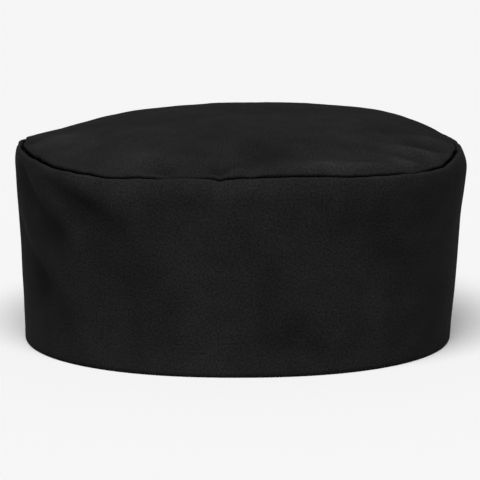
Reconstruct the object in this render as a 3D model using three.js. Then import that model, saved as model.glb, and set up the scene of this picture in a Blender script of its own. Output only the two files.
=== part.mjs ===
// A chef's skull cap: a plain pillbox of black cloth, sewn from two pieces.
//
//   side_band   the tall wall. It stands on a folded hem, leans out towards the rim, rolls over
//               there and turns down inside as a seam allowance.
//   top_panel   the round top. It crowns over the rim, and its edge turns down beside the band's.
//
// Millimetres, +Z up. The cap stands on its hem at Z = 0, centred on the Z axis. Its front
// faces -Y. Angles are in degrees round +Z: 0 is the right-hand side, 90 the back, 180 the
// left-hand side and 270 the front.

import * as THREE from "three";

// Overall sizes

const hemWidth = 189.2; // outside of the foot, side to side
const hemDepth = 184; // outside of the foot, front to back
const flareWidth = 12; // how much wider the rim is, before the wall leans back in
const flareDepth = 11; // and how much deeper
const rimShift = 1.7; // how far the rim sits to the right of the foot
const bandHeight = 86; // floor to the top of the rolled rim, where the rim is highest
const rimDip = 4.5; // how far the rim sags where it sags most
const domeRise = 13.9; // height of the crown's middle over the highest part of its edge
const planPower = 2.2; // 2 makes each level an ellipse, and more makes it squarer

// The band's cloth

const bandThickness = 1.2;
const hemThickness = 2.2; // where the cloth is folded up at the foot
const hemHeight = 7; // of that folded part
const hemSwell = 0.5; // how far the fold stands out from the wall
const rollInside = 0.6; // radius inside the common roll at the rim
const rimLean = 1.4; // how far the wall leans back in under the rim
const leanHeight = 10; // height of the stretch that leans back
const allowance = 8; // depth of cloth turned down inside at the seam
const foldDepth = 2.4; // deepest soft fold
const foldWidth = 9; // half width of a common fold
const foldFoot = 14; // the folds fade out below this height

// The top panel's cloth

const panelThickness = 1.2;
const panelTurnInside = 0.3; // radius inside the turn into the seam
const seamGap = 0.3; // clearance between the two turned-down edges
const seamStep = 0.9; // how far the panel's shoulder lies below the top of the band's roll
const puffHeight = 1.8; // highest puff
const puffWidth = 11; // half width of a common puff
const puffFrom = 0.3; // the puffs fade out inside this share of the way to the seam
const puffTo = 0.92; // and outside this one

const stepsRound = 100;

const rimWidth = hemWidth + flareWidth;
const rimDepth = hemDepth + flareDepth;

// The rim, by angle. dip is a share of rimDip, roll of rollInside and lean of rimLean. crown is
// the power of the dome's section towards that side: 2 slopes all the way, 3 has a flatter top.

const rim = [
  { angle: 0, dip: 0.35, roll: 2.2, lean: 1.7, crown: 3.2 },
  { angle: 22, dip: 0.05, roll: 1.8, lean: 1.2, crown: 3.9 },
  { angle: 50, dip: 0.0, roll: 1.2, lean: 0.8, crown: 4.0 },
  { angle: 90, dip: 0.0, roll: 1.0, lean: 0.7, crown: 3.0 },
  { angle: 130, dip: 0.25, roll: 0.8, lean: 0.5, crown: 2.8 },
  { angle: 158, dip: 0.55, roll: 0.6, lean: 0.5, crown: 2.7 },
  { angle: 180, dip: 0.05, roll: 0.4, lean: 0.4, crown: 2.4 },
  { angle: 200, dip: 0.0, roll: 0.5, lean: 0.4, crown: 2.4 },
  { angle: 232, dip: 0.6, roll: 0.7, lean: 0.6, crown: 2.6 },
  { angle: 250, dip: 0.3, roll: 0.9, lean: 0.7, crown: 2.7 },
  { angle: 268, dip: 0.0, roll: 1.0, lean: 0.8, crown: 2.8 },
  { angle: 300, dip: 0.3, roll: 1.2, lean: 1.0, crown: 3.0 },
  { angle: 326, dip: 0.75, roll: 1.4, lean: 1.3, crown: 3.1 },
  { angle: 346, dip: 0.2, roll: 1.9, lean: 1.6, crown: 3.2 },
];

// Soft folds of the band, each along a line. from and to are angles, high and low are shares of
// bandHeight, width is a share of foldWidth and depth of foldDepth. A negative depth is a ridge.

const bandFolds = [
  { from: 200, high: 0.92, to: 220, low: 0.7, width: 0.7, depth: 0.8 },
  { from: 217, high: 0.93, to: 238, low: 0.81, width: 0.9, depth: 1.0 },
  { from: 210, high: 0.8, to: 226, low: 0.68, width: 0.6, depth: -0.35 },
  { from: 193, high: 0.6, to: 210, low: 0.42, width: 0.8, depth: 0.7 },
  { from: 242, high: 0.55, to: 253, low: 0.35, width: 1.2, depth: 0.35 },
  { from: 290, high: 0.4, to: 281, low: 0.04, width: 1.6, depth: 0.35 },
  { from: 300, high: 0.8, to: 315, low: 0.57, width: 1.3, depth: 0.5 },
  { from: 336, high: 0.72, to: 356, low: 0.6, width: 1.2, depth: 0.35 },
  { from: 356, high: 0.5, to: 6, low: 0.42, width: 1.2, depth: -0.25 },
  { from: 20, high: 0.86, to: 40, low: 0.5, width: 1.4, depth: 0.4 },
  { from: 122, high: 0.9, to: 146, low: 0.6, width: 1.1, depth: 0.5 },
  { from: 160, high: 0.7, to: 172, low: 0.35, width: 0.9, depth: 0.5 },
];

// Puffs and hollows of the top panel. out is a share of the way from the middle to the seam. long
// and wide are shares of puffWidth, along the rim and across it, and height is of puffHeight.

const panelPuffs = [
  { angle: 298, out: 0.88, long: 2.4, wide: 0.6, height: 0.9 },
  { angle: 278, out: 0.6, long: 0.9, wide: 2.4, height: -0.7 },
  { angle: 252, out: 0.7, long: 1.6, wide: 1.8, height: 0.4 },
  { angle: 205, out: 0.62, long: 2.4, wide: 1.8, height: 0.5 },
  { angle: 333, out: 0.86, long: 0.6, wide: 1.4, height: -0.5 },
  { angle: 350, out: 0.85, long: 0.7, wide: 1.4, height: 0.5 },
  { angle: 34, out: 0.84, long: 2.6, wide: 1.6, height: 1.0 },
  { angle: 95, out: 0.7, long: 2.6, wide: 1.4, height: 0.3 },
];

// Rows of points up a section, as shares

const hemRows = [0, 0.12, 0.45]; // of hemHeight
const wallRows = [0, 0.22, 0.44, 0.64, 0.83, 1]; // from the hem to where the wall leans back
const rollSteps = 4;
const turnSteps = 3;
const panelRows = [0.965, 0.9, 0.81, 0.7, 0.57, 0.42, 0.26, 0.12]; // of the way out to the turn

// Helpers

const { degToRad, lerp, clamp, smoothstep, euclideanModulo } = THREE.MathUtils;

// Falls from 1 in the middle to almost nothing at twice the half width.
const bell = (distance) => Math.exp(-distance * distance);

// The signed angle from b to a, between -180 and 180.
const angleBetween = (a, b) => euclideanModulo(a - b + 180, 360) - 180;

// Radius of a level of the cap in one direction.
function planRadius(angle, width, depth) {
  const across = Math.abs(Math.cos(degToRad(angle)) / (width / 2));
  const along = Math.abs(Math.sin(degToRad(angle)) / (depth / 2));
  return Math.pow(Math.pow(across, planPower) + Math.pow(along, planPower), -1 / planPower);
}

// One column of the rim's table at any angle, eased from row to row.
function rimValue(column, angle) {
  const turned = euclideanModulo(angle, 360);
  const next = rim.findIndex((row) => row.angle > turned);
  const after = rim[Math.max(next, 0)];
  const before = rim[(Math.max(next, 0) + rim.length - 1) % rim.length];
  const span = euclideanModulo(after.angle - before.angle, 360);
  const share = euclideanModulo(turned - before.angle, 360) / span;
  return lerp(before[column], after[column], smoothstep(share, 0, 1));
}

// The band

const rimHeight = (angle) => bandHeight - rimDip * rimValue("dip", angle);
const rollRadius = (angle) => bandThickness + rollInside * rimValue("roll", angle);
const rollFoot = (angle) => rimHeight(angle) - rollRadius(angle);

// How far the soft folds move the wall in at one place.
function foldsAt(angle, height) {
  const reach = rimWidth / 2;
  let move = 0;
  for (const fold of bandFolds) {
    const run = degToRad(angleBetween(fold.to, fold.from)) * reach;
    const line = new THREE.Vector2(run, (fold.low - fold.high) * bandHeight);
    const sideways = degToRad(angleBetween(angle, fold.from)) * reach;
    const place = new THREE.Vector2(sideways, height - fold.high * bandHeight);
    const share = clamp(place.dot(line) / line.lengthSq(), 0, 1);
    const distance = place.distanceTo(line.multiplyScalar(share));
    move += fold.depth * foldDepth * bell(distance / (fold.width * foldWidth));
  }
  return move;
}

// Radius of the wall's outer face. The folds fade out at the hem and at the roll.
function wallRadius(angle, height) {
  const share = height / rollFoot(angle);
  const foot = planRadius(angle, hemWidth, hemDepth);
  const top = planRadius(angle, rimWidth, rimDepth) + rimShift * Math.cos(degToRad(angle));
  const upper = smoothstep(height, rollFoot(angle) - leanHeight, rollFoot(angle));
  const free = smoothstep(height, 0, foldFoot) * (1 - upper);
  const leaned = lerp(foot, top, share) - rimLean * rimValue("lean", angle) * upper;
  return leaned - foldsAt(angle, height) * free;
}

// Radius of the turned-down face at the seam. Below the roll it gives way to the wall's folds.
function seamRadius(angle, height) {
  const foot = rollFoot(angle) - allowance;
  const below = clamp((rollFoot(angle) - height) / allowance, 0, 1);
  const top = wallRadius(angle, rollFoot(angle)) - 2 * rollRadius(angle);
  const pushed = Math.max(0, foldsAt(angle, foot));
  return top - pushed * below;
}

// The band's section: up the outside from the hem, over the roll and down inside.
function bandSection(angle) {
  const points = [];
  for (const share of hemRows) {
    const height = share * hemHeight;
    const swell = hemSwell * Math.sin(Math.PI * Math.sqrt(share));
    points.push({ radius: wallRadius(angle, height) + swell, height, thickness: hemThickness + swell });
  }
  const leanFoot = rollFoot(angle) - leanHeight;
  for (const share of wallRows) {
    const height = lerp(hemHeight, leanFoot, share);
    points.push({ radius: wallRadius(angle, height), height, thickness: bandThickness });
  }
  const leanMiddle = leanFoot + leanHeight / 2;
  points.push({ radius: wallRadius(angle, leanMiddle), height: leanMiddle, thickness: bandThickness });
  const middle = wallRadius(angle, rollFoot(angle)) - rollRadius(angle);
  for (let i = 0; i <= rollSteps; i++) {
    const round = (Math.PI * i) / rollSteps;
    const radius = middle + rollRadius(angle) * Math.cos(round);
    const height = rollFoot(angle) + rollRadius(angle) * Math.sin(round);
    points.push({ radius, height, thickness: bandThickness });
  }
  const foot = rollFoot(angle) - allowance;
  points.push({ radius: seamRadius(angle, foot), height: foot, thickness: bandThickness });
  return points;
}

// The top panel

// How far the puffs lift the panel at one place.
function puffsAt(angle, out) {
  const reach = rimWidth / 2;
  let lift = 0;
  for (const puff of panelPuffs) {
    const sideways = degToRad(angleBetween(angle, puff.angle)) * puff.out * reach;
    const along = sideways / (puff.long * puffWidth);
    const across = ((out - puff.out) * reach) / (puff.wide * puffWidth);
    lift += puff.height * puffHeight * bell(Math.hypot(along, across));
  }
  return lift;
}

// The panel's section: up its turned-down edge, over the shoulder and in to the middle.
function panelSection(angle) {
  const turnRadius = panelThickness + panelTurnInside;
  const turnFoot = rimHeight(angle) - seamStep - turnRadius;
  const edgeFoot = rollFoot(angle) - allowance;
  const middle = seamRadius(angle, turnFoot) - seamGap - turnRadius;
  const crown = rimValue("crown", angle);
  const top = bandHeight - seamStep + domeRise;
  const slope = Math.atan((crown * (top - turnFoot - turnRadius)) / middle);
  const points = [];
  points.push({ radius: seamRadius(angle, edgeFoot) - seamGap, height: edgeFoot });
  for (let i = 0; i <= turnSteps; i++) {
    const round = ((Math.PI / 2 - slope) * i) / turnSteps;
    const radius = middle + turnRadius * Math.cos(round);
    points.push({ radius, height: turnFoot + turnRadius * Math.sin(round) });
  }
  const shoulder = points[points.length - 1];
  for (const out of panelRows) {
    const height = lerp(top, shoulder.height, Math.pow(out, crown));
    const free = smoothstep(out, 0, puffFrom) * (1 - smoothstep(out, puffTo, 1));
    points.push({ radius: out * shoulder.radius, height: height + puffsAt(angle, out) * free });
  }
  points.push({ radius: 0, height: top });
  return points.map((point) => ({ ...point, thickness: panelThickness }));
}

// Cloth from sections

// Each section gives the cloth's outer face, and its inner face lies the thickness behind. The
// first row ends level, and so does the last, unless the last row is a point in the middle.
function thickSection(points) {
  return points.map((point, i) => {
    const before = points[Math.max(i - 1, 0)];
    const after = points[Math.min(i + 1, points.length - 1)];
    const behind = new THREE.Vector2(before.height - after.height, after.radius - before.radius);
    if (i === 0) behind.set(-1, 0);
    if (i === points.length - 1) behind.set(point.radius > 0 ? 1 : 0, point.radius > 0 ? 0 : -1);
    behind.setLength(point.thickness);
    return { outer: point, inner: { radius: point.radius + behind.x, height: point.height + behind.y } };
  });
}

// A closed solid of cloth that goes once round the Z axis.
function clothGeometry(section) {
  const positions = [];
  const faces = [];
  const sections = [];
  for (let i = 0; i < stepsRound; i++) sections.push(thickSection(section((360 * i) / stepsRound)));
  const rows = sections[0].length;
  const closed = sections[0][rows - 1].outer.radius === 0;
  for (let i = 0; i < stepsRound; i++) {
    const turn = degToRad((360 * i) / stepsRound);
    for (const { outer, inner } of sections[i]) {
      for (const { radius, height } of [outer, inner]) {
        positions.push(radius * Math.cos(turn), radius * Math.sin(turn), height);
      }
    }
  }
  const outer = (i, row) => 2 * ((i % stepsRound) * rows + row);
  const inner = (i, row) => outer(i, row) + 1;
  const facet = (a, b, c, d) => faces.push(a, b, c, a, c, d);
  const last = rows - 1;
  for (let i = 0; i < stepsRound; i++) {
    const next = i + 1;
    facet(outer(i, 0), inner(i, 0), inner(next, 0), outer(next, 0));
    for (let row = 0; row < (closed ? last - 1 : last); row++) {
      // Facets are all cut from low at one step to high at the next, so faces that follow each
      // other along the seam keep their clearance where they twist.
      const falls = sections[i][row + 1].outer.height < sections[i][row].outer.height;
      const [low, high] = falls ? [row + 1, row] : [row, row + 1];
      for (const side of [outer, inner]) {
        const [a, b, c, d] = [side(i, low), side(next, low), side(next, high), side(i, high)];
        if (falls === (side === outer)) facet(a, d, c, b);
        else facet(a, b, c, d);
      }
    }
    if (closed) {
      faces.push(outer(i, last - 1), outer(next, last - 1), outer(0, last));
      faces.push(inner(next, last - 1), inner(i, last - 1), inner(0, last));
    } else {
      facet(outer(i, last), outer(next, last), inner(next, last), inner(i, last));
    }
  }
  const geometry = new THREE.BufferGeometry();
  geometry.setAttribute("position", new THREE.Float32BufferAttribute(positions, 3));
  geometry.setIndex(faces);
  geometry.computeVertexNormals();
  return geometry;
}

// The cap

function clothPiece(name, section, color) {
  const material = new THREE.MeshStandardMaterial({ color, roughness: 0.95, metalness: 0 });
  const piece = new THREE.Mesh(clothGeometry(section), material);
  piece.name = name;
  return piece;
}

const cap = new THREE.Group();
cap.add(clothPiece("side_band", bandSection, 0x1c1c1e));
cap.add(clothPiece("top_panel", panelSection, 0x202022));

// The folds pull the cap a little off its middle, so the whole of it is centred again.
const middle = new THREE.Box3().setFromObject(cap).getCenter(new THREE.Vector3());
cap.position.set(-middle.x, -middle.y, 0);
cap.updateMatrixWorld(true);

export default cap;
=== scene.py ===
"""A chef's skull cap of black cloth, standing on a pale floor.

The cap is sewn from a side band and a round top panel. Both are modelled as the flat pieces that
they are cut as, and are then bent into place: the band is a strip whose hem is turned up inside,
and the top is a disc whose edge is turned down beside the band's. Lengths are in metres and
angles in degrees round +Z: 0 is the right-hand side, 90 the back, 180 the left and 270 the front.
"""

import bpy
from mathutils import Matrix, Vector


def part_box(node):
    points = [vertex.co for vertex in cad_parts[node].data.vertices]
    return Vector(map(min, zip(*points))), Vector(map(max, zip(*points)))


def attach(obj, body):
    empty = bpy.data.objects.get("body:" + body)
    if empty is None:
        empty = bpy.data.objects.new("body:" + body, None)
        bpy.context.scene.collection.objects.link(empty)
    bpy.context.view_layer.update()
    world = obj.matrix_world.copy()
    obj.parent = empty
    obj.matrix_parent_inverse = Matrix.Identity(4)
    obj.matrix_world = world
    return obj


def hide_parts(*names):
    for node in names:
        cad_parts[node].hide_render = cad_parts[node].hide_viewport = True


bl_info = {
    "name": "Chef Skull Cap",
    "version": (1, 0, 0),
    "blender": (4, 5, 0),
    "location": "View3D > Sidebar > Skull Cap",
    "description": "Adds a black cloth skull cap and a pale studio floor round the cap's frame",
    "category": "Add Mesh",
}

import functools
import math

import bpy
from mathutils import Vector, noise

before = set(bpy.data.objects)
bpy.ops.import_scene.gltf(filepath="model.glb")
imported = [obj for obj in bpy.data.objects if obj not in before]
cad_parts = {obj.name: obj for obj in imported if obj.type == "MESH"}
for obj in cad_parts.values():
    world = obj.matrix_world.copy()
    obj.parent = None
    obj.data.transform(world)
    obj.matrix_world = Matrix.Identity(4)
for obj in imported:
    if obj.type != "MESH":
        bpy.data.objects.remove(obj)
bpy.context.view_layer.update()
BAND_LOW, BAND_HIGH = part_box("side_band")

# Overall sizes

HEM_WIDTH = 0.1892
HEM_DEPTH = 0.184
RIM_WIDTH = 0.2012
RIM_DEPTH = 0.195
RIM_SHIFT = 0.0017
RIM_HEIGHT = BAND_HIGH.z
RIM_DIP = 0.0045
CROWN_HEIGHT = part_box("top_panel")[1].z
PLAN_POWER = 2.2

# How the cloth is folded: FOLD_SKEW is how many times wider a soft fold is on its lower side, and
# the puffs of the top lie between PUFF_FROM and PUFF_TO of the way from its middle to the seam

HEM_TURN = 0.010
HEM_SPACE = 0.0003
HEM_SWELL = 0.0004
HEM_SWELL_HEIGHT = 0.006
RIM_ROLL = 0.0012
RIM_LEAN = 0.0014
LEAN_HEIGHT = 0.008
ALLOWANCE = 0.008
FOLD_DEPTH = 0.0024
FOLD_WIDTH = 0.009
FOLD_FOOT = 0.014
FOLD_FADE = 0.005
FOLD_SKEW = 2.2
PANEL_TURN = 0.0013
SEAM_GAP = 0.0003
GROOVE_WIDTH = 0.0014
GROOVE_DEPTH = 0.003
TUCK = 62
TUCK_BELOW = 0.00035
PUFF_HEIGHT = 0.0018
PUFF_WIDTH = 0.011
PUFF_FROM = 0.3
PUFF_TO = 0.985

# Painted shade in the creased groove beside the seam, which darkens the cloth's colour there: it is
# full from this share of TUCK on, and sets in between these shares of the band's roll and of the
# top's turn

CREASE_SHADE_FROM = 0.3
ROLL_CREASE_SHADE = (0.5, 0.7)
TURN_CREASE_SHADE = (0.3, 0.7)

# How uneven the sewn cloth is: PUCKER_CREST is how far a pucker may stand out, as a share of
# PUCKER_DEPTH, and PUCKER_STRETCH how many times longer puckers are down the wall than along it

SEAM_WOBBLE = 0.0003
TUCK_WOBBLE = 0.5
TUCK_LENGTH = 0.006
PUCKER_DEPTH = 0.0007
PUCKER_LENGTH = 0.009
PUCKER_REACH = 0.008
PUCKER_CREST = 0.1
PUCKER_STRETCH = 3
GATHER_HEIGHT = 0.0006
GATHER_LENGTH = 0.011
GATHER_REACH = 0.012
CLOTH_WAVE = 0.0004
CLOTH_WAVE_LENGTH = 0.034
CLOTH_RIPPLE = 0.00012
CLOTH_RIPPLE_LENGTH = 0.012

# Where in the noise each unevenness is taken from

SEAM_NOISE = 1
PUCKER_REACH_NOISE = 3
PUCKER_NOISE = 4
BAND_NOISE = 6
TUCK_NOISE = 8
GATHER_REACH_NOISE = 11
GATHER_NOISE = 12
TOP_NOISE = 14
RIPPLE_NOISE_STEP = 7

# How the shape is worked out: rows at which the wall is measured, of which the uppermost lie in the
# roll, decimals that a point's angle is rounded to, and a least length to divide by

WALL_ROWS = 43
WALL_ROWS_IN_ROLL = 3
ANGLE_DIGITS = 4
TINY = 1e-9

# How a mesh is finished: the distance within which points are joined, and the angle up to which
# faces are shaded smooth

JOIN_DISTANCE = 0.00001
SMOOTH_ANGLE = 60

# The flat cloth: rows of the band's strip from the raw edge inside the hem to the one inside the
# rim, and rings of the top panel outside its dome

BACK = 90
BAND_CUT = 0.606
BAND_COLUMNS = 480
BAND_PARTS = (
    dict(part="hem", rows=5, cloth=0.0100),
    dict(part="fold", rows=7, cloth=0.0024),
    dict(part="wall", rows=56, cloth=0.0834),
    dict(part="roll", rows=11, cloth=0.0056),
    dict(part="edge", rows=5, cloth=0.0080),
)
PANEL_CELLS = 160
PANEL_DOME = 0.0950
PANEL_PARTS = (
    dict(part="turn", rows=10, cloth=0.0034),
    dict(part="edge", rows=5, cloth=0.0068),
)

# The rim, by angle: dip is a share of RIM_DIP, roll of RIM_ROLL and lean of RIM_LEAN; turn is a
# share of PANEL_TURN, tuck of TUCK, which is how far the top panel curls under beside the seam, and
# open of GROOVE_WIDTH; crown is the power of the dome's section

RIM = (
    dict(angle=0, dip=0.4, roll=1.25, lean=2.0, turn=1, tuck=0.9, open=0.8, crown=3.9),
    dict(angle=22, dip=0.35, roll=1.1, lean=1.5, turn=1, tuck=0.4, open=0.5, crown=4.15),
    dict(angle=50, dip=0.35, roll=1.0, lean=0.8, turn=1, tuck=0.3, open=0.1, crown=3.6),
    dict(angle=90, dip=0.35, roll=1.0, lean=0.7, turn=1, tuck=0.3, open=0.1, crown=3.0),
    dict(angle=130, dip=0.55, roll=0.9, lean=0.6, turn=1, tuck=0.3, open=0.1, crown=2.75),
    dict(angle=158, dip=0.6, roll=0.8, lean=0.8, turn=0.8, tuck=0.4, open=0.3, crown=2.3),
    dict(angle=180, dip=-0.1, roll=0.9, lean=1.0, turn=0.7, tuck=0.7, open=0.7, crown=2.1),
    dict(angle=194, dip=-0.1, roll=0.9, lean=0.9, turn=0.7, tuck=0.9, open=0.8, crown=2.2),
    dict(angle=206, dip=0.1, roll=1.1, lean=0.8, turn=0.9, tuck=1.1, open=0.6, crown=2.4),
    dict(angle=220, dip=0.5, roll=1.1, lean=0.9, turn=1, tuck=1.0, open=0.1, crown=2.5),
    dict(angle=236, dip=0.65, roll=1.2, lean=1.2, turn=1, tuck=0.95, open=0, crown=2.6),
    dict(angle=245, dip=0.45, roll=1.2, lean=1.4, turn=1, tuck=0.7, open=0, crown=2.7),
    dict(angle=252, dip=0.25, roll=1.2, lean=1.5, turn=1, tuck=0.0, open=0, crown=2.7),
    dict(angle=257, dip=0.2, roll=1.2, lean=1.6, turn=1, tuck=0.1, open=0, crown=2.7),
    dict(angle=265, dip=0.3, roll=1.2, lean=1.6, turn=1, tuck=0.7, open=0, crown=2.8),
    dict(angle=272, dip=0.2, roll=1.2, lean=1.5, turn=1, tuck=0.85, open=0, crown=2.8),
    dict(angle=285, dip=0.1, roll=1.2, lean=1.3, turn=1, tuck=0.75, open=0, crown=2.9),
    dict(angle=300, dip=0.35, roll=1.2, lean=1.0, turn=1, tuck=0.75, open=0, crown=3.0),
    dict(angle=312, dip=0.5, roll=1.15, lean=0.6, turn=1, tuck=0.35, open=0, crown=3.0),
    dict(angle=320, dip=0.65, roll=1.2, lean=0.7, turn=1, tuck=0.05, open=0, crown=3.05),
    dict(angle=328, dip=0.75, roll=1.2, lean=0.8, turn=1, tuck=0.9, open=0, crown=3.1),
    dict(angle=346, dip=0.35, roll=1.25, lean=1.8, turn=1, tuck=1.0, open=0.6, crown=3.2),
)

# Soft folds of the band along lines from (start, high) to (end, low): high and low are shares of
# RIM_HEIGHT, width of FOLD_WIDTH and depth of FOLD_DEPTH, and a negative depth is a ridge

FOLDS = (
    dict(start=200, high=0.9, end=218, low=0.67, width=0.6, depth=1.1),
    dict(start=216, high=0.9, end=229, low=0.81, width=0.5, depth=0.6),
    dict(start=227, high=0.82, end=236, low=0.75, width=0.65, depth=0.75),
    dict(start=213, high=0.85, end=225, low=0.75, width=0.6, depth=-0.25),
    dict(start=195, high=0.6, end=210, low=0.41, width=0.7, depth=0.8),
    dict(start=210, high=0.4, end=221, low=0.22, width=0.8, depth=0.45),
    dict(start=242, high=0.55, end=253, low=0.35, width=1.2, depth=0.35),
    dict(start=277, high=0.42, end=288, low=0.1, width=1.5, depth=0.5),
    dict(start=262, high=0.34, end=272, low=0.1, width=1.4, depth=-0.3),
    dict(start=312, high=0.53, end=316, low=0.49, width=0.8, depth=0.5),
    dict(start=298, high=0.73, end=304, low=0.7, width=0.8, depth=0.35),
    dict(start=336, high=0.72, end=356, low=0.6, width=1.2, depth=0.2),
    dict(start=356, high=0.5, end=366, low=0.42, width=1.2, depth=-0.1),
    dict(start=20, high=0.86, end=40, low=0.5, width=1.4, depth=0.4),
    dict(start=122, high=0.9, end=146, low=0.6, width=1.1, depth=0.5),
    dict(start=160, high=0.7, end=172, low=0.35, width=0.9, depth=0.5),
)

# Puffs and hollows of the top panel: out is a share of the way to the seam, long and wide are
# shares of PUFF_WIDTH along the rim and across it, height is of PUFF_HEIGHT, and slant is how far
# a puff runs along the rim on its way inwards

PUFFS = (
    dict(angle=294, out=0.95, long=1.1, wide=0.4, height=1.0),
    dict(angle=306, out=0.96, long=1.2, wide=0.3, height=0.8),
    dict(angle=279, out=0.76, long=1.1, wide=1.5, height=-0.9),
    dict(angle=271.5, out=0.965, long=0.7, wide=0.22, height=0.45),
    dict(angle=265, out=0.95, long=0.4, wide=0.4, height=-0.8),
    dict(angle=249.5, out=0.95, long=0.5, wide=0.5, height=-0.9),
    dict(angle=238, out=0.86, long=1.6, wide=0.9, height=0.5),
    dict(angle=201, out=0.87, long=1.5, wide=1.1, height=1.1),
    dict(angle=189, out=0.96, long=0.5, wide=0.3, height=-0.7),
    dict(angle=215, out=0.6, long=1.6, wide=1.3, height=0.3),
    dict(angle=319, out=0.95, long=0.5, wide=0.7, height=0.85, slant=0.8),
    dict(angle=325, out=0.93, long=0.25, wide=0.8, height=-0.4, slant=0.8),
    dict(angle=331, out=0.92, long=0.45, wide=0.9, height=0.9, slant=0.8),
    dict(angle=338, out=0.91, long=0.35, wide=0.9, height=-0.7, slant=0.8),
    dict(angle=346, out=0.9, long=0.55, wide=0.9, height=0.8, slant=0.8),
    dict(angle=346, out=0.7, long=1.4, wide=1.2, height=-0.45),
    dict(angle=328, out=0.86, long=1.6, wide=1.2, height=0.15),
    dict(angle=8, out=0.85, long=0.7, wide=1.1, height=-0.2),
    dict(angle=34, out=0.84, long=2.6, wide=1.6, height=0.4),
    dict(angle=95, out=0.7, long=2.6, wide=1.4, height=0.3),
)

# Stitches that pull the seam in, by angle: width and depth in metres

NOTCHES = (
    dict(angle=250, width=0.004, depth=0.0005),
    dict(angle=265.5, width=0.002, depth=0.0008),
)

# The cloth's finish: how far apart a wave texture's bands lie before it is scaled, the sizes of the
# other patterns, and for each pattern its low and high values and the tones, or the shader's
# roughness, that they turn into

WAVE_REPEAT = 2 * math.pi / 20
FIBRE_SIZE = 0.0009
MOTTLE_SIZE = 0.012
PATCH_SIZE = 0.035
FIBRE_TONES = (0.3, 0.75, 0.5, 1.7)
MOTTLE_TONES = (0.3, 0.7, 0.88, 1.12)
WEAVE_TONES = (0, 1, 0.85, 1.15)
PATCH_TONES = (0.3, 0.7, 0.9, 1.1)
FIBRE_ROUGHNESS = (0.3, 0.7, 0.68, 0.82)
WEAVE_STRENGTH = 0.6
WEAVE_RELIEF = 0.00006
FIBRE_STRENGTH = 0.5
FIBRE_RELIEF = 0.00012

# The studio: its paper, with so many grains to the metre, and where the camera turns and looks

PAPER_ROUGHNESS = 0.9
PAPER_GLOSS = 0.1
PAPER_GRAINS = 300
PAPER_TONES = (0, 1, 0.99, 1.01)
CAMERA_MIDDLE = Vector((0, 0, 0.045))
CAMERA_AIM = Vector((-0.0004, 0, 0.04205))
FILM_WIDTH_MM = 36


# Helpers


def lerp(start, end, share):
    return start + (end - start) * share


def smoothstep(value, low, high):
    share = min(max((value - low) / (high - low), 0), 1)
    return share * share * (3 - 2 * share)


def bell(distance):
    """Falls from 1 at a distance of 0 to almost nothing at 2."""
    return math.exp(-distance * distance)


def angle_between(end, start):
    """The signed angle from start to end, between -180 and 180."""
    return (end - start + 180) % 360 - 180


def around(angle, radius, height):
    """A place given by its direction and distance from the cap's own axis."""
    turn = math.radians(angle)
    return Vector((radius * math.cos(turn), radius * math.sin(turn), height))


def plan_radius(angle, width, depth):
    turn = math.radians(angle)
    across = abs(math.cos(turn) / (width / 2))
    along = abs(math.sin(turn) / (depth / 2))
    return (across**PLAN_POWER + along**PLAN_POWER) ** (-1 / PLAN_POWER)


def ripple(place, length, seed):
    """Smooth noise, mostly between -0.6 and 0.6, whose waves are about that long."""
    return noise.noise(place / length + Vector((seed, 0, 0)))


def rough(place, length, seed):
    """Noise whose waves are about that long, with smaller ones of half the length on them."""
    return ripple(place, length, seed) + ripple(place, length / 2, seed + 1) / 2


def cloth_waves(place, seed):
    """How far cloth that isn't drawn tight stands off its even shape."""
    wave = CLOTH_WAVE * ripple(place, CLOTH_WAVE_LENGTH, seed)
    fine_seed = seed + RIPPLE_NOISE_STEP
    return wave + CLOTH_RIPPLE * ripple(place, CLOTH_RIPPLE_LENGTH, fine_seed)


# Shape of the cap


@functools.cache
def rim_at(angle):
    """The rim's values in one direction, eased from row to row of its table."""
    turned = angle % 360
    after = next((i for i, row in enumerate(RIM) if row["angle"] > turned), 0)
    high, low = RIM[after], RIM[after - 1]
    span = (high["angle"] - low["angle"]) % 360
    share = smoothstep((turned - low["angle"]) % 360 / span, 0, 1)
    eased = {name: lerp(low[name], high[name], share) for name in RIM[0] if name != "angle"}
    place = around(angle, RIM_WIDTH / 2, 0)
    wobble = SEAM_WOBBLE * rough(place, PUCKER_LENGTH, SEAM_NOISE)
    height = RIM_HEIGHT - RIM_DIP * eased["dip"] + wobble
    for notch in NOTCHES:
        aside = math.radians(angle_between(angle, notch["angle"])) * RIM_WIDTH / 2
        height -= notch["depth"] * bell(aside / notch["width"])
    hem = plan_radius(angle, HEM_WIDTH, HEM_DEPTH)
    top = plan_radius(angle, RIM_WIDTH, RIM_DEPTH) + RIM_SHIFT * math.cos(math.radians(angle))
    radius = RIM_ROLL * eased["roll"]
    lean = RIM_LEAN * eased["lean"]
    tilt = math.atan(2 * lean / LEAN_HEIGHT - (top - hem) / RIM_HEIGHT)
    uneven = 1 + TUCK_WOBBLE * ripple(place, TUCK_LENGTH, TUCK_NOISE)
    return {
        "hem": hem,
        "top": top,
        "height": height,
        "roll": radius,
        "roll_middle": height - radius,
        "roll_foot": height - radius * (1 - math.sin(tilt)),
        "lean": lean,
        "tilt": tilt,
        "turn": PANEL_TURN * eased["turn"],
        "tuck": math.radians(TUCK * eased["tuck"]) * uneven,
        "open": GROOVE_WIDTH * eased["open"],
        "crown": eased["crown"],
    }


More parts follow.
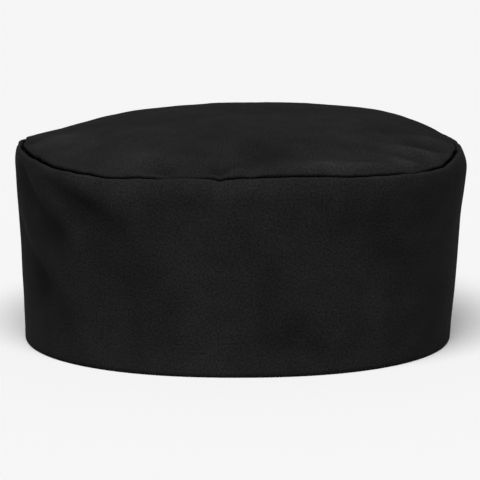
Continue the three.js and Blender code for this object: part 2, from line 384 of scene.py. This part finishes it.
def folds_at(angle, height):
    """How far the soft folds move the wall in at one place. Their upper sides are the steep ones."""
    reach = RIM_WIDTH / 2
    move = 0
    for fold in FOLDS:
        run = math.radians(angle_between(fold["end"], fold["start"])) * reach
        fall = (fold["low"] - fold["high"]) * RIM_HEIGHT
        sideways = math.radians(angle_between(angle, fold["start"])) * reach
        above = height - fold["high"] * RIM_HEIGHT
        length = math.hypot(run, fall)
        share = min(max((sideways * run + above * fall) / length**2, 0), 1)
        distance = math.hypot(sideways - run * share, above - fall * share)
        upper = (above * run - sideways * fall) / length / max(distance, TINY)
        width = fold["width"] * FOLD_WIDTH * lerp(FOLD_SKEW, 1, (1 + upper) / 2)
        move += fold["depth"] * FOLD_DEPTH * bell(distance / width)
    return move


def free_folds(angle, height):
    """The soft folds where nothing holds the wall: they fade out at the hem and at the roll."""
    foot = rim_at(angle)["roll_foot"]
    free = smoothstep(height, 0, FOLD_FOOT) * (1 - smoothstep(height, foot - FOLD_FADE, foot))
    return folds_at(angle, height) * free


def wall_radius(angle, height):
    """Radius of the wall's outer face."""
    rim = rim_at(angle)
    upper = max(height - rim["roll_foot"] + LEAN_HEIGHT, 0) / LEAN_HEIGHT
    leaned = lerp(rim["hem"], rim["top"], height / rim["roll_foot"]) - rim["lean"] * upper**2
    return leaned - free_folds(angle, height) + uneven_wall(angle, height)


def uneven_wall(angle, height):
    """Puckers under the seam, which fade out downwards, and slight waves of the whole wall."""
    rim = rim_at(angle)
    place = around(angle, RIM_WIDTH / 2, height / PUCKER_STRETCH)
    below = max(rim["roll_foot"] - height, 0)
    reach = PUCKER_REACH * (1 + ripple(place, PUCKER_LENGTH, PUCKER_REACH_NOISE))
    pucker = min(rough(place, PUCKER_LENGTH, PUCKER_NOISE), PUCKER_CREST)
    waves = cloth_waves(around(angle, RIM_WIDTH / 2, height), BAND_NOISE)
    return PUCKER_DEPTH * pucker * bell(below / reach) + waves * smoothstep(height, 0, FOLD_FOOT)


@functools.cache
def rim_wall(angle):
    return wall_radius(angle, rim_at(angle)["roll_foot"])


def crease_shade(angle, share, sets_in):
    """Painted shade in the groove beside the seam, as a value from 0 down to -1, which fades where
    the top isn't curled under.
    """
    curled = smoothstep(rim_at(angle)["tuck"] / math.radians(TUCK), 0, CREASE_SHADE_FROM)
    return -curled * smoothstep(share, *sets_in)


@functools.cache
def fold_at_seam(angle):
    return max(0, folds_at(angle, rim_at(angle)["roll_middle"] - ALLOWANCE))


def seam_radius(angle, height):
    """Radius of the band's turned-down face at the seam."""
    rim = rim_at(angle)
    below = min(max((rim["roll_middle"] - height) / ALLOWANCE, 0), 1)
    return rim_wall(angle) - rim["roll"] * (1 + math.cos(rim["tilt"])) - fold_at_seam(angle) * below


def puffs_at(angle, out):
    """How far the puffs lift the top panel at one place."""
    reach = RIM_WIDTH / 2
    lift = 0
    for puff in PUFFS:
        sideways = math.radians(angle_between(angle, puff["angle"])) * puff["out"] * reach
        sideways += puff.get("slant", 0) * (puff["out"] - out) * reach
        along = sideways / (puff["long"] * PUFF_WIDTH)
        across = (out - puff["out"]) * reach / (puff["wide"] * PUFF_WIDTH)
        lift += puff["height"] * PUFF_HEIGHT * bell(math.hypot(along, across))
    return lift


def free_puffs(angle, out):
    """The puffs where nothing holds the top: they fade out in its middle and at the seam."""
    free = smoothstep(out, 0, PUFF_FROM) * (1 - smoothstep(out, PUFF_TO, 1))
    return puffs_at(angle, out) * free


@functools.cache
def axis_place():
    """Where the cap's own axis stands in the frame: the folds pull its box a little off it."""
    heights = [RIM_HEIGHT * i / WALL_ROWS for i in range(WALL_ROWS - WALL_ROWS_IN_ROLL)]
    places = [around(i, wall_radius(i, height), height) for i in range(360) for height in heights]
    middle_x = (min(p.x for p in places) + max(p.x for p in places)) / 2
    middle_y = (min(p.y for p in places) + max(p.y for p in places)) / 2
    centre = (BAND_LOW + BAND_HIGH) / 2
    return Vector((centre.x - middle_x, centre.y - middle_y, 0))


# The side band


def band_place(angle, part, share, cloth):
    """Place of the cloth's right side at one share of a part of the band's strip."""
    rim = rim_at(angle)
    turn = cloth + HEM_SPACE / 2
    if part == "hem":
        height = lerp(HEM_TURN, turn, share)
        return around(angle, wall_radius(angle, height) - 2 * turn, height)
    if part == "fold":
        round_foot = math.pi * share
        radius = wall_radius(angle, turn) - turn * (1 + math.cos(round_foot))
        return around(angle, radius, turn * (1 - math.sin(round_foot)))
    if part == "wall":
        height = lerp(turn, rim["roll_foot"], share)
        swell = HEM_SWELL * smoothstep(height, 0, turn) * bell(height / HEM_SWELL_HEIGHT)
        return around(angle, wall_radius(angle, height) + swell, height)
    if part == "roll":
        round_rim = lerp(rim["tilt"], math.pi, share)
        middle = rim_wall(angle) - rim["roll"] * math.cos(rim["tilt"])
        height = rim["roll_middle"] + rim["roll"] * math.sin(round_rim)
        return around(angle, middle + rim["roll"] * math.cos(round_rim), height)
    height = rim["roll_middle"] - ALLOWANCE * share
    return around(angle, seam_radius(angle, height), height)


def strip_rows():
    """Every row of the band's strip: its part, the share of that part and the flat distance."""
    rows = []
    distance = 0
    for part in BAND_PARTS:
        for i in range(part["rows"]):
            share = i / part["rows"]
            rows.append((part["part"], share, distance + part["cloth"] * share))
        distance += part["cloth"]
    rows.append((BAND_PARTS[-1]["part"], 1, distance))
    return rows


def only(obj):
    """Makes an object the one that the operators work on."""
    bpy.ops.object.select_all(action="DESELECT")
    obj.select_set(True)
    bpy.context.view_layer.objects.active = obj


def lay_cloth(obj, flat):
    """Gives each corner the place of its point on the flat cloth, in metres, as its UV."""
    layer = obj.data.uv_layers.active or obj.data.uv_layers.new(name="flat_cloth")
    layer.name = "flat_cloth"
    for loop in obj.data.loops:
        layer.data[loop.index].uv = flat[loop.vertex_index]


def give_thickness(obj, thickness):
    """Thickens a sheet behind its right side."""
    only(obj)
    solidify = obj.modifiers.new("cloth", "SOLIDIFY")
    solidify.thickness = thickness
    solidify.offset = -1
    solidify.use_even_offset = True
    solidify.use_quality_normals = True
    bpy.ops.object.modifier_apply(modifier=solidify.name)
    bpy.ops.object.shade_smooth_by_angle(angle=math.radians(SMOOTH_ANGLE))


def keep_painted_shading(obj, painted_shading):
    """Keeps how far each point is raised, from -1 to 1, and how deep it lies in the groove beside the
    seam, for the painted highlights and painted shade in the cloth's colour.
    """
    layer = obj.data.attributes.new(name="painted_shading", type="FLOAT", domain="POINT")
    layer.data.foreach_set("value", [min(max(value, -1), 1) for value in painted_shading])


def close_seam(obj):
    """Merges the points that lie on each other, as the two ends of the band's strip do."""
    only(obj)
    bpy.ops.object.mode_set(mode="EDIT")
    bpy.ops.mesh.select_all(action="SELECT")
    bpy.ops.mesh.remove_doubles(threshold=JOIN_DISTANCE)
    bpy.ops.object.mode_set(mode="OBJECT")


def add_grid(name, columns, rows, size):
    """A flat square of so many columns and rows of faces, centred on the origin."""
    bpy.ops.object.select_all(action="DESELECT")
    bpy.ops.mesh.primitive_grid_add(x_subdivisions=columns, y_subdivisions=rows, size=size)
    grid = bpy.context.object
    grid.name = name
    return grid


def finish_cloth(obj, flat, painted_shading, thickness):
    """Makes a bent sheet into cloth, with its flat places, its painted highlights and shade, and its
    thickness.
    """
    lay_cloth(obj, flat)
    keep_painted_shading(obj, painted_shading)
    close_seam(obj)
    give_thickness(obj, thickness)


def make_band(cloth):
    """Bends the strip into the side band: its columns go round the cap from the back."""
    rows = strip_rows()
    band = add_grid("band_cloth", BAND_COLUMNS, len(rows) - 1, 1)
    axis = axis_place()
    flat = []
    painted_shading = []
    for vertex in band.data.vertices:
        column = round((vertex.co.x + 0.5) * BAND_COLUMNS)
        row = round((vertex.co.y + 0.5) * (len(rows) - 1))
        part, share, distance = rows[row]
        angle = BACK + 360 * (column % BAND_COLUMNS) / BAND_COLUMNS
        flat.append((BAND_CUT * column / BAND_COLUMNS, distance))
        place = band_place(angle, part, share, cloth)
        # Painted highlight and shade: the wall is made paler where its folds stand out and darker in
        # their hollows, and the roll darker in the groove beside the seam
        raised = -free_folds(angle, place.z) / FOLD_DEPTH if part == "wall" else 0
        painted_shading.append(crease_shade(angle, share, ROLL_CREASE_SHADE) if part == "roll" else raised)
        vertex.co = place + axis
    finish_cloth(band, flat, painted_shading, cloth)
    return band


# The top panel


@functools.cache
def panel_shoulder(angle):
    """The turn at the panel's edge: its middle, where it leaves the dome, and the height where it
    ends beside the seam, below the rim's crest, after it has curled under."""
    rim = rim_at(angle)
    end = rim["height"] - TUCK_BELOW
    turn = rim["turn"]
    middle = seam_radius(angle, end) - SEAM_GAP - rim["open"] - turn * math.cos(rim["tuck"])
    foot = end + turn * math.sin(rim["tuck"])
    slope = math.atan(rim["crown"] * (CROWN_HEIGHT - foot - turn) / middle)
    lift = math.pi / 2 - slope
    radius = middle + turn * math.cos(lift)
    height = foot + turn * math.sin(lift)
    return {
        "middle": middle,
        "foot": foot,
        "lift": lift,
        "radius": radius,
        "height": height,
        "end": end,
    }


def uneven_top(angle, share):
    """Gathers beside the seam, which run in towards the middle, and slight waves all over."""
    place = around(angle, RIM_WIDTH / 2, 0)
    inside = (1 - share) * RIM_WIDTH / 2
    reach = GATHER_REACH * (1 + ripple(place, GATHER_LENGTH, GATHER_REACH_NOISE))
    gather = rough(place, GATHER_LENGTH, GATHER_NOISE)
    return GATHER_HEIGHT * gather * bell(inside / reach) + cloth_waves(place * share, TOP_NOISE)


def panel_place(angle, part, share):
    """Place of the panel's right side at one share of its dome, its turn or its turned edge."""
    rim, shoulder = rim_at(angle), panel_shoulder(angle)
    if part == "dome":
        height = lerp(CROWN_HEIGHT, shoulder["height"], share ** rim["crown"])
        lift = free_puffs(angle, share) + uneven_top(angle, share)
        return around(angle, share * shoulder["radius"], height + lift)
    if part == "turn":
        lift = lerp(shoulder["lift"], -rim["tuck"], share)
        radius = shoulder["middle"] + rim["turn"] * math.cos(lift)
        height = shoulder["foot"] + rim["turn"] * math.sin(lift)
        return around(angle, radius, height + uneven_top(angle, 1) * (1 - share))
    height = lerp(shoulder["end"], rim["roll_middle"] - ALLOWANCE, share)
    opened = rim["open"] * (1 - smoothstep(shoulder["end"] - height, 0, GROOVE_DEPTH))
    return around(angle, seam_radius(angle, height) - SEAM_GAP - opened, height)


def ring_rows():
    """Every ring outside the dome: its part, the share of that part and its flat radius."""
    rows = []
    radius = PANEL_DOME
    for part in PANEL_PARTS:
        for i in range(part["rows"]):
            share = (i + 1) / part["rows"]
            rows.append((part["part"], share, radius + part["cloth"] * share))
        radius += part["cloth"]
    return rows


def add_disc(rows):
    """The flat panel: a square grid drawn into the dome's disc, with a ring of faces for each row."""
    disc = add_grid("panel_cloth", PANEL_CELLS, PANEL_CELLS, 2)
    for vertex in disc.data.vertices:
        x, y = vertex.co.x, vertex.co.y
        vertex.co.x = x * math.sqrt(1 - y * y / 2) * PANEL_DOME
        vertex.co.y = y * math.sqrt(1 - x * x / 2) * PANEL_DOME
    only(disc)
    bpy.ops.object.mode_set(mode="EDIT")
    bpy.ops.mesh.select_all(action="SELECT")
    bpy.ops.mesh.region_to_loop()
    radius = PANEL_DOME
    for _, _, wider in rows:
        bpy.ops.mesh.extrude_region_move()
        bpy.ops.transform.resize(value=(wider / radius, wider / radius, 1))
        radius = wider
    bpy.ops.object.mode_set(mode="OBJECT")
    return disc


def make_panel(cloth):
    """Bends the disc into the top panel: its dome first, and then the rings of its edge."""
    rows = ring_rows()
    panel = add_disc(rows)
    axis = axis_place()
    flat = []
    painted_shading = []
    for vertex in panel.data.vertices:
        out = math.hypot(vertex.co.x, vertex.co.y)
        angle = round(math.degrees(math.atan2(vertex.co.y, vertex.co.x)), ANGLE_DIGITS)
        flat.append((vertex.co.x, vertex.co.y))
        part, share = "dome", min(out / PANEL_DOME, 1)
        if out > PANEL_DOME + (rows[0][2] - PANEL_DOME) / 2:
            part, share, _ = min(rows, key=lambda row: abs(row[2] - out))
        # Painted highlight and shade: the dome is made paler on its puffs and darker in its hollows,
        # the turn darker in the groove beside the seam, and the turned edge fully darkened
        raised = free_puffs(angle, share) / PUFF_HEIGHT if part == "dome" else -1
        painted_shading.append(crease_shade(angle, share, TURN_CREASE_SHADE) if part == "turn" else raised)
        vertex.co = panel_place(angle, part, share) + axis
    finish_cloth(panel, flat, painted_shading, cloth)
    return panel


# Finishes


def pattern(tree, kind, place, scale, **values):
    """A texture, whose further inputs are given by name."""
    node = tree.nodes.new(kind)
    node.inputs["Scale"].default_value = scale
    for label, value in values.items():
        node.inputs[label.replace("_", " ")].default_value = value
    tree.links.new(place, node.inputs["Vector"])
    return node


def clouds(tree, place, size, detail, roughness):
    """Noise whose clouds are about that big."""
    node = pattern(tree, "ShaderNodeTexNoise", place, 1 / size, Detail=detail, Roughness=roughness)
    return node.outputs["Fac"]


def ranged(tree, source, low, high, to_low, to_high):
    """Turns the values from low to high into those from to_low to to_high."""
    node = tree.nodes.new("ShaderNodeMapRange")
    tree.links.new(source, node.inputs["Value"])
    limits = {"From Min": low, "From Max": high, "To Min": to_low, "To Max": to_high}
    for label, value in limits.items():
        node.inputs[label].default_value = value
    return node.outputs["Result"]


def multiply(tree, first, second):
    node = tree.nodes.new("ShaderNodeMath")
    node.operation = "MULTIPLY"
    tree.links.new(first, node.inputs[0])
    tree.links.new(second, node.inputs[1])
    return node.outputs[0]


def bump(tree, height, strength, distance):
    """Fine bumps, up to that distance high."""
    node = tree.nodes.new("ShaderNodeBump")
    node.inputs["Strength"].default_value = strength
    node.inputs["Distance"].default_value = distance
    tree.links.new(height, node.inputs["Height"])
    return node


def dye(tree, colour, tone):
    """Gives the shader a colour, lighter or darker by the tone."""
    dyed = tree.nodes.new("ShaderNodeMix")
    dyed.data_type = "RGBA"
    dyed.blend_type = "MULTIPLY"
    dyed.inputs["Factor"].default_value = 1
    dyed.inputs["A"].default_value = (*colour, 1)
    tree.links.new(tone, dyed.inputs["B"])
    tree.links.new(dyed.outputs["Result"], tree.nodes["Principled BSDF"].inputs["Base Color"])


def cloth_material(name, colour, settings):
    """Matt poly-cotton: a plain weave of uneven yarns, with paler fibres and soft mottling, and with
    painted highlights where it is raised and painted shade in its hollows and in the groove beside
    the seam."""
    material = bpy.data.materials.new(name)
    material.use_nodes = True
    tree = material.node_tree
    shader = tree.nodes["Principled BSDF"]
    place = tree.nodes.new("ShaderNodeTexCoord").outputs["UV"]

    scale = WAVE_REPEAT / settings.weave_pitch
    uneven = {"Distortion": 1.2, "Detail": 2, "Detail_Scale": 0.4}
    yarns = []
    for direction in ("X", "Y"):
        wave = pattern(tree, "ShaderNodeTexWave", place, scale, **uneven)
        wave.bands_direction = direction
        yarns.append(wave.outputs["Fac"])
    weave = multiply(tree, *yarns)
    fibres = clouds(tree, place, FIBRE_SIZE, detail=3, roughness=0.65)
    mottle = clouds(tree, place, MOTTLE_SIZE, detail=3, roughness=0.55)
    patches = clouds(tree, place, PATCH_SIZE, detail=1, roughness=0.5)
    # Painted highlight and shade, read from each point: raised cloth is made paler, and its hollows
    # and the groove beside the seam darker
    painted_shading = tree.nodes.new("ShaderNodeAttribute")
    painted_shading.attribute_name = "painted_shading"

    tone = ranged(tree, fibres, *FIBRE_TONES)
    for tones in (
        ranged(tree, mottle, *MOTTLE_TONES),
        ranged(tree, weave, *WEAVE_TONES),
        ranged(tree, patches, *PATCH_TONES),
        # Painted highlight and shade, by how far the cloth is raised
        ranged(tree, painted_shading.outputs["Fac"], -1, 1, 1 - settings.painted_shading_strength, 1 + settings.painted_shading_strength),
    ):
        tone = multiply(tree, tone, tones)
    dye(tree, colour, tone)
    roughness = ranged(tree, fibres, *FIBRE_ROUGHNESS)
    tree.links.new(roughness, shader.inputs["Roughness"])

    weave_bump = bump(tree, weave, WEAVE_STRENGTH, WEAVE_RELIEF)
    fibre_bump = bump(tree, fibres, FIBRE_STRENGTH, FIBRE_RELIEF)
    tree.links.new(weave_bump.outputs["Normal"], fibre_bump.inputs["Normal"])
    tree.links.new(fibre_bump.outputs["Normal"], shader.inputs["Normal"])
    shader.inputs["Specular IOR Level"].default_value = settings.gloss
    return material


def floor_material(colour):
    """A plain pale paper floor with the faintest grain."""
    material = bpy.data.materials.new("studio_paper")
    material.use_nodes = True
    tree = material.node_tree
    shader = tree.nodes["Principled BSDF"]
    shader.inputs["Roughness"].default_value = PAPER_ROUGHNESS
    shader.inputs["Specular IOR Level"].default_value = PAPER_GLOSS
    place = tree.nodes.new("ShaderNodeTexCoord").outputs["Object"]
    grain = pattern(tree, "ShaderNodeTexNoise", place, PAPER_GRAINS)
    dye(tree, colour, ranged(tree, grain.outputs["Fac"], *PAPER_TONES))
    return material


# Settings


class SkullCapClothSettings(bpy.types.PropertyGroup):
    """Sizes and colours of the cap's cloth."""

    band_thickness: bpy.props.FloatProperty(
        name="Band Cloth",
        description="Thickness of the band's cloth",
        default=0.0006,
        min=0.0003,
        max=0.0012,
        precision=5,
        unit="LENGTH",
    )
    panel_thickness: bpy.props.FloatProperty(
        name="Top Cloth",
        description="Thickness of the top panel's cloth",
        default=0.0006,
        min=0.0003,
        max=0.0012,
        precision=5,
        unit="LENGTH",
    )
    weave_pitch: bpy.props.FloatProperty(
        name="Weave Pitch",
        description="Distance from one yarn to the next",
        default=0.00048,
        min=0.0002,
        max=0.002,
        precision=5,
        unit="LENGTH",
    )
    band_colour: bpy.props.FloatVectorProperty(
        name="Band Colour",
        description="Colour of the band's cloth",
        default=(0.0104, 0.0104, 0.0108),
        min=0,
        max=1,
        size=3,
        subtype="COLOR",
    )
    # The top is the same cloth as the band; its colour is set a little darker as painted shade
    panel_colour: bpy.props.FloatVectorProperty(
        name="Top Colour",
        description="Colour of the top panel's cloth",
        default=(0.0094, 0.0094, 0.0098),
        min=0,
        max=1,
        size=3,
        subtype="COLOR",
    )
    # Painted highlight and shade: how much paler raised cloth is made, and how much darker its
    # hollows and the groove beside the seam are
    painted_shading_strength: bpy.props.FloatProperty(
        name="Painted Shading",
        description="How much paler raised cloth is, and how much darker its hollows",
        default=0.38,
        min=0,
        max=1,
        subtype="FACTOR",
    )
    gloss: bpy.props.FloatProperty(
        name="Gloss",
        description="Strength of the cloth's broad, dull shine",
        default=0.01,
        min=0,
        max=1,
        subtype="FACTOR",
    )


class SkullCapStudioSettings(bpy.types.PropertyGroup):
    """The floor, the lights and the camera."""

    floor_colour: bpy.props.FloatVectorProperty(
        name="Floor Colour",
        description="Colour of the paper floor",
        default=(0.5, 0.5, 0.5),
        min=0,
        max=1,
        size=3,
        subtype="COLOR",
    )
    floor_size: bpy.props.FloatProperty(
        name="Floor Size",
        description="Length of the floor's sides",
        default=12,
        min=1,
        unit="LENGTH",
    )
    key_strength: bpy.props.FloatProperty(
        name="Key Light",
        description="Strength of the soft light that comes down from the front",
        default=6.0,
        min=0,
    )
    key_rise: bpy.props.FloatProperty(
        name="Key Height",
        description="How steeply the key light comes down",
        default=math.radians(64),
        min=0,
        max=math.radians(90),
        subtype="ANGLE",
    )
    key_side: bpy.props.FloatProperty(
        name="Key Side",
        description="How far the key light stands to the left of the camera",
        default=math.radians(6),
        min=math.radians(-180),
        max=math.radians(180),
        subtype="ANGLE",
    )
    key_softness: bpy.props.FloatProperty(
        name="Key Softness",
        description="How wide the key light looks from the cap",
        default=math.radians(40),
        min=0,
        max=math.radians(180),
        subtype="ANGLE",
    )
    sky_strength: bpy.props.FloatProperty(
        name="Surroundings",
        description="Strength of the white surroundings",
        default=0.15,
        min=0,
    )
    camera_distance: bpy.props.FloatProperty(
        name="Camera Distance",
        description="From the camera to the middle of the cap",
        default=1.4,
        min=0.3,
        unit="LENGTH",
    )
    camera_rise: bpy.props.FloatProperty(
        name="Camera Elevation",
        description="How far the camera looks down on the cap",
        default=math.radians(10.3),
        min=0,
        max=math.radians(90),
        subtype="ANGLE",
    )
    view_angle: bpy.props.FloatProperty(
        name="View Angle",
        description="What the camera takes in",
        default=math.radians(8.76),
        min=math.radians(1),
        max=math.radians(90),
        subtype="ANGLE",
    )


# Operators


class SKULLCAP_OT_side_band(bpy.types.Operator):
    """Add the side band, bent round and hemmed from its flat strip"""

    bl_idname = "skullcap.side_band"
    bl_label = "Side Band"

    def execute(self, context):
        settings = context.scene.skull_cap_cloth
        band = make_band(settings.band_thickness)
        band.data.materials.append(cloth_material("band_cotton", settings.band_colour, settings))
        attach(band, "root")
        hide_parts("side_band")
        return {"FINISHED"}


class SKULLCAP_OT_top_panel(bpy.types.Operator):
    """Add the round top panel, crowned and turned down at its edge from its flat disc"""

    bl_idname = "skullcap.top_panel"
    bl_label = "Top Panel"

    def execute(self, context):
        settings = context.scene.skull_cap_cloth
        panel = make_panel(settings.panel_thickness)
        panel.data.materials.append(cloth_material("top_cotton", settings.panel_colour, settings))
        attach(panel, "root")
        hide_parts("top_panel")
        return {"FINISHED"}


class SKULLCAP_OT_studio(bpy.types.Operator):
    """Add the pale floor, the soft lights and the camera"""

    bl_idname = "skullcap.studio"
    bl_label = "Studio"

    def execute(self, context):
        settings = context.scene.skull_cap_studio
        bpy.ops.object.select_all(action="DESELECT")
        bpy.ops.mesh.primitive_plane_add(size=settings.floor_size)
        floor = context.object
        floor.name = "studio_floor"
        floor.data.materials.append(floor_material(settings.floor_colour))
        self.add_key_light(context, settings)
        self.add_surroundings(context, settings.sky_strength)
        self.add_camera(context, settings)
        context.scene.view_settings.view_transform = "Standard"
        return {"FINISHED"}

    def add_key_light(self, context, settings):
        side, rise = settings.key_side, settings.key_rise
        level = Vector((-math.sin(side), -math.cos(side), 0)) * math.cos(rise)
        bpy.ops.object.light_add(type="SUN", location=(0, 0, 1))
        light = context.object
        light.name = "key_light"
        light.data.energy = settings.key_strength
        light.data.angle = settings.key_softness
        light.rotation_mode = "QUATERNION"
        light.rotation_quaternion = (level + Vector((0, 0, math.sin(rise)))).to_track_quat("Z", "Y")

    def add_surroundings(self, context, strength):
        world = bpy.data.worlds.new("studio_white")
        world.use_nodes = True
        background = world.node_tree.nodes["Background"]
        background.inputs["Color"].default_value = (1, 1, 1, 1)
        background.inputs["Strength"].default_value = strength
        context.scene.world = world

    def add_camera(self, context, settings):
        rise = settings.camera_rise
        outwards = Vector((0, -math.cos(rise), math.sin(rise)))
        place = CAMERA_MIDDLE + settings.camera_distance * outwards
        bpy.ops.object.camera_add(location=place)
        camera = context.object
        camera.name = "photo_camera"
        camera.data.sensor_width = FILM_WIDTH_MM
        camera.data.lens_unit = "FOV"
        camera.data.angle = settings.view_angle
        camera.rotation_mode = "QUATERNION"
        camera.rotation_quaternion = (CAMERA_AIM - place).to_track_quat("-Z", "Y")
        context.scene.camera = camera


class SKULLCAP_PT_pieces(bpy.types.Panel):
    """The cap's pieces and their settings"""

    bl_idname = "SKULLCAP_PT_pieces"
    bl_label = "Skull Cap"
    bl_space_type = "VIEW_3D"
    bl_region_type = "UI"
    bl_category = "Skull Cap"

    def draw(self, context):
        for group in ("skull_cap_cloth", "skull_cap_studio"):
            settings = getattr(context.scene, group)
            for name in settings.bl_rna.properties.keys():
                if name not in ("rna_type", "name"):
                    self.layout.prop(settings, name)
        for operator in PIECES:
            self.layout.operator(operator.bl_idname)


PIECES = (SKULLCAP_OT_side_band, SKULLCAP_OT_top_panel, SKULLCAP_OT_studio)
CLASSES = (SkullCapClothSettings, SkullCapStudioSettings, *PIECES, SKULLCAP_PT_pieces)


def register():
    for item in CLASSES:
        bpy.utils.register_class(item)
    bpy.types.Scene.skull_cap_cloth = bpy.props.PointerProperty(type=SkullCapClothSettings)
    bpy.types.Scene.skull_cap_studio = bpy.props.PointerProperty(type=SkullCapStudioSettings)


def unregister():
    del bpy.types.Scene.skull_cap_studio
    del bpy.types.Scene.skull_cap_cloth
    for item in reversed(CLASSES):
        bpy.utils.unregister_class(item)


def main():
    register()
    bpy.ops.skullcap.side_band()
    bpy.ops.skullcap.top_panel()
    bpy.ops.skullcap.studio()


if __name__ == "__main__":
    main()
